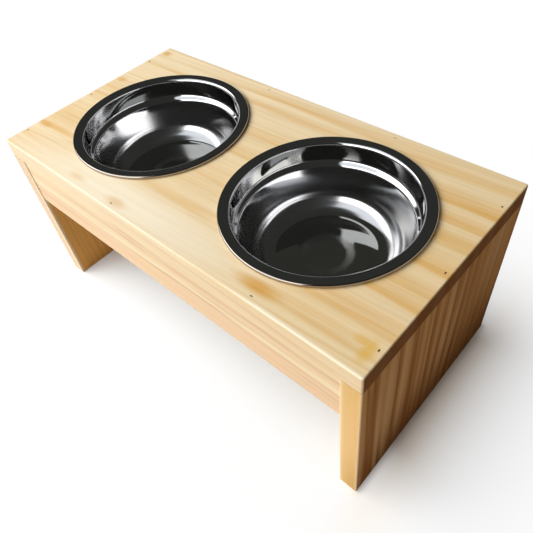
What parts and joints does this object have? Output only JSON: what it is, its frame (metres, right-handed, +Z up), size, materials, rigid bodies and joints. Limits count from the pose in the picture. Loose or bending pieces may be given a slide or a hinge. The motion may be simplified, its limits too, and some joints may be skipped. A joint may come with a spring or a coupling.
{
  "type": "elevated dog bowl stand",
  "caption": "Low pine stand on two solid side panels with aprons under the top, holding lift-out pressed steel feeding bowls in round holes.",
  "frame": {"origin": "on the floor under the middle of the stand", "axes": "+X to the right along the length, +Y from the front to the back, +Z up"},
  "size_m": [0.4, 0.204, 0.1804],
  "materials": {
    "pine": "clear-varnished planed pine",
    "bowl_steel": "mirror-polished stainless steel",
    "nail_steel": "dull plain steel"
  },
  "bodies": {
    "stand": {"top_board": "pine", "left_side_panel": "pine", "right_side_panel": "pine", "front_apron": "pine", "back_apron": "pine", "nail_left_front": "nail_steel", "nail_left_middle": "nail_steel", "nail_left_rear": "nail_steel", "nail_right_front": "nail_steel", "nail_right_middle": "nail_steel", "nail_right_rear": "nail_steel", "nail_front_left": "nail_steel", "nail_front_right": "nail_steel", "nail_back_left": "nail_steel", "nail_back_right": "nail_steel"},
    "left_bowl": {"left_bowl": "bowl_steel"},
    "right_bowl": {"right_bowl": "bowl_steel"}
  },
  "joints": [
    {"name": "left_bowl_lift", "type": "slide", "parent": "stand", "child": "left_bowl", "axis": [0, 0, 1], "range_m": [0, 0.08]},
    {"name": "right_bowl_lift", "type": "slide", "parent": "stand", "child": "right_bowl", "axis": [0, 0, 1], "range_m": [0, 0.08]}
  ]
}
